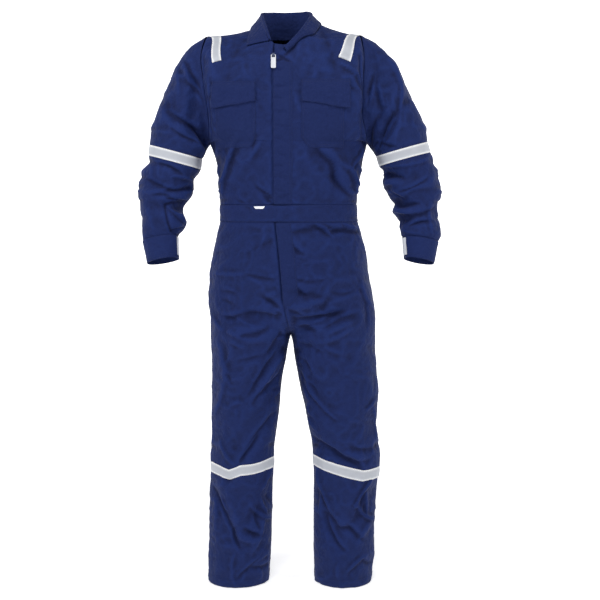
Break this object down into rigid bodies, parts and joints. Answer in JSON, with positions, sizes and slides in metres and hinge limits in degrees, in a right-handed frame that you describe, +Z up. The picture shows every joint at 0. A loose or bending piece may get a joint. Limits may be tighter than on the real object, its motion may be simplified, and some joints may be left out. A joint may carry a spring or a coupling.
{
  "type": "boiler suit",
  "caption": "Long-sleeved navy boiler suit with a turned-down collar, covered front zip, flapped chest pockets and reflective tapes, filled out as if worn.",
  "frame": {"origin": "the point between the shoulders where a wearer or a stand carries the suit", "axes": "+Z up from hems to collar, the chest faces -Y, +X is the wearer's left"},
  "size_m": [0.846, 0.2958, 1.6331],
  "materials": {
    "navy_cloth": "matte twill",
    "reflective_tape": "satin",
    "label": "matte",
    "fastening_strip": "matte",
    "zip_metal": "satin",
    "pull_tab": "satin"
  },
  "bodies": {
    "suit": {"trouser_front_right": "navy_cloth", "trouser_back_right": "navy_cloth", "trouser_front_left": "navy_cloth", "trouser_back_left": "navy_cloth", "waistband_front": "navy_cloth", "waistband_back": "navy_cloth", "bodice_front_right": "navy_cloth", "bodice_front_left": "navy_cloth", "bodice_back": "navy_cloth", "sleeve_right": "navy_cloth", "sleeve_left": "navy_cloth", "cuff_right": "navy_cloth", "cuff_left": "navy_cloth", "placket": "navy_cloth", "fly_flap": "navy_cloth", "chest_pocket_right": "navy_cloth", "pocket_flap_right": "navy_cloth", "chest_pocket_left": "navy_cloth", "pocket_flap_left": "navy_cloth", "collar": "navy_cloth", "zip_tape": "navy_cloth", "knee_tape_right": "reflective_tape", "knee_tape_left": "reflective_tape", "sleeve_tape_right": "reflective_tape", "sleeve_tape_left": "reflective_tape", "shoulder_tape_right": "reflective_tape", "shoulder_tape_left": "reflective_tape", "neck_label": "label", "waist_label": "label", "cuff_strip_right": "fastening_strip", "cuff_strip_left": "fastening_strip", "zip_slider": "zip_metal"},
    "pull_tab": {"zip_pull_tab": "pull_tab"}
  },
  "joints": [
    {"name": "pull_tab_hinge", "type": "hinge", "parent": "suit", "child": "pull_tab", "pos_m": [-0.043, -0.11976, -0.04877], "axis": [-1, 0, 0], "range_deg": [0, 150]}
  ]
}
